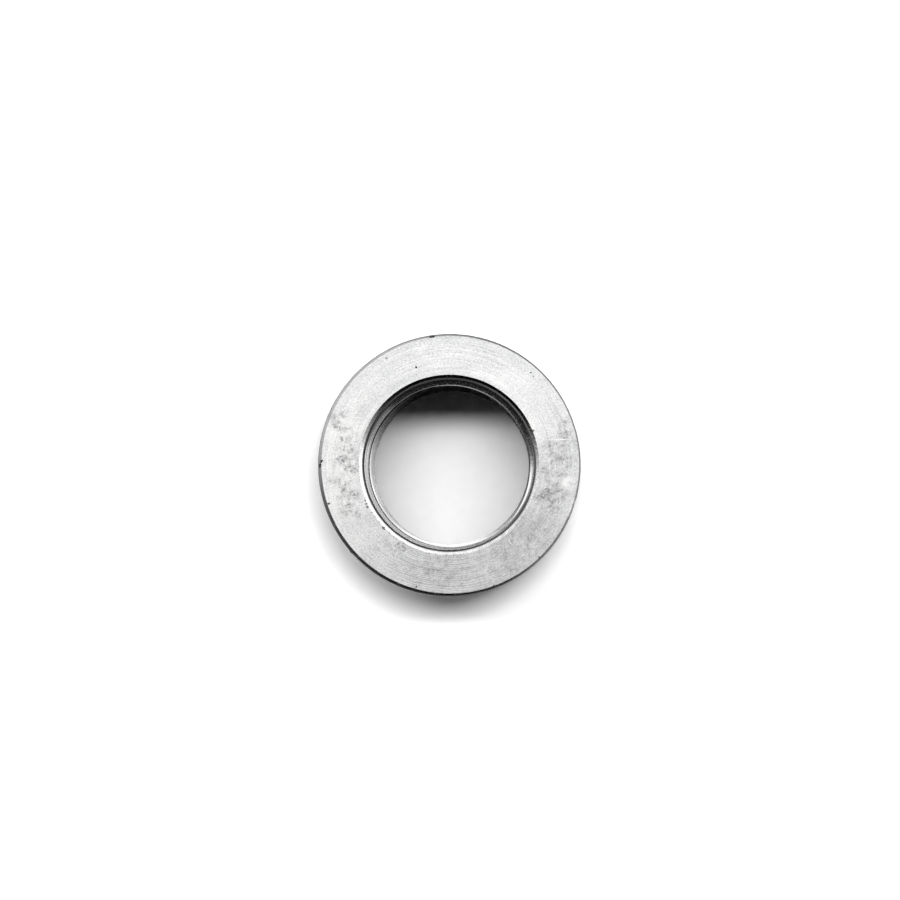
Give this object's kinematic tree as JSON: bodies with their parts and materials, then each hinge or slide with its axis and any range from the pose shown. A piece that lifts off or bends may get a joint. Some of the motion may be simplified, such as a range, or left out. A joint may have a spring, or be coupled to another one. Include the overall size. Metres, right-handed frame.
{
  "type": "round weld nut",
  "caption": "Thick round steel ring with a fine threaded bore, countersunk at both ends, that is welded over a hole so a sensor or plug can be screwed in.",
  "frame": {"origin": "centre of the lower face, on the axis of the bore", "axes": "+Z along the bore, from the lower face, which goes against the work, to the face with the stepped mouth, where the mating screw goes in; X and Y are any two directions across the ring"},
  "size_m": [0.028, 0.028, 0.01],
  "materials": {
    "turned_steel": "faced and turned mild steel, bare, with fine turning marks"
  },
  "bodies": {
    "root": {"weld_nut": "turned_steel"}
  },
  "joints": []
}
